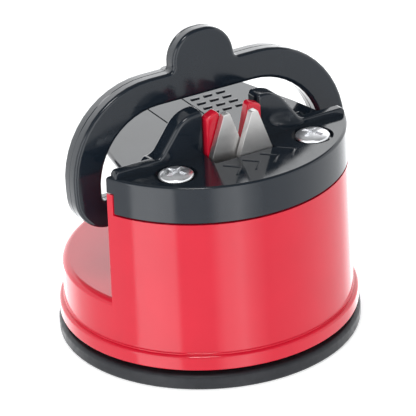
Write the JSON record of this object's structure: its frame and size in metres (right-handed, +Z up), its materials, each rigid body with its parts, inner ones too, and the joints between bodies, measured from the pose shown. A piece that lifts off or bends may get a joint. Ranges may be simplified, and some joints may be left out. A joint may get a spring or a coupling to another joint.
{
  "type": "suction-base blade sharpener",
  "caption": "Round suction-base sharpener: crossed carbide plates in a guarded V slot on a flat-backed tower, with a ring lever that locks the rubber foot.",
  "frame": {"origin": "centre of the round base, at the underside of the suction pad", "axes": "+Z up out of the base, -Y towards the tower's round front, +Y towards the lever; X runs across the two screws"},
  "size_m": [0.0622, 0.062, 0.0648],
  "materials": {
    "black_rubber": "satin moulded rubber",
    "nylon": "natural nylon",
    "red_plastic": "polished moulded plastic",
    "black_plastic": "polished moulded plastic",
    "ground_carbide": "fine ground faces",
    "bright_steel": "bright plated steel"
  },
  "bodies": {
    "suction_foot": {"suction_pad": "black_rubber", "pad_stem": "nylon"},
    "body": {"housing": "red_plastic", "top_cap": "black_plastic", "blade_holder": "red_plastic", "carbide_left": "ground_carbide", "carbide_right": "ground_carbide", "blade_retainer": "bright_steel", "clamp_screw_left": "bright_steel", "clamp_screw_right": "bright_steel", "cap_screw_left": "bright_steel", "cap_screw_right": "bright_steel", "cam_washer": "bright_steel"},
    "lever": {"lever": "black_plastic", "lever_pin": "bright_steel", "pin_clip_left": "bright_steel", "pin_clip_right": "bright_steel"}
  },
  "joints": [
    {"name": "lever_turn", "type": "hinge", "parent": "suction_foot", "child": "lever", "pos_m": [0, 0, 0.0216], "axis": [-1, 0, 0], "range_deg": [0, 84]},
    {"name": "body_press", "type": "slide", "parent": "suction_foot", "child": "body", "axis": [0, 0, -1], "range_m": [0, 0.0007]}
  ],
  "couplings": [
    {"joint": "lever_turn", "follows": "body_press", "rad_per_m": 2094}
  ]
}
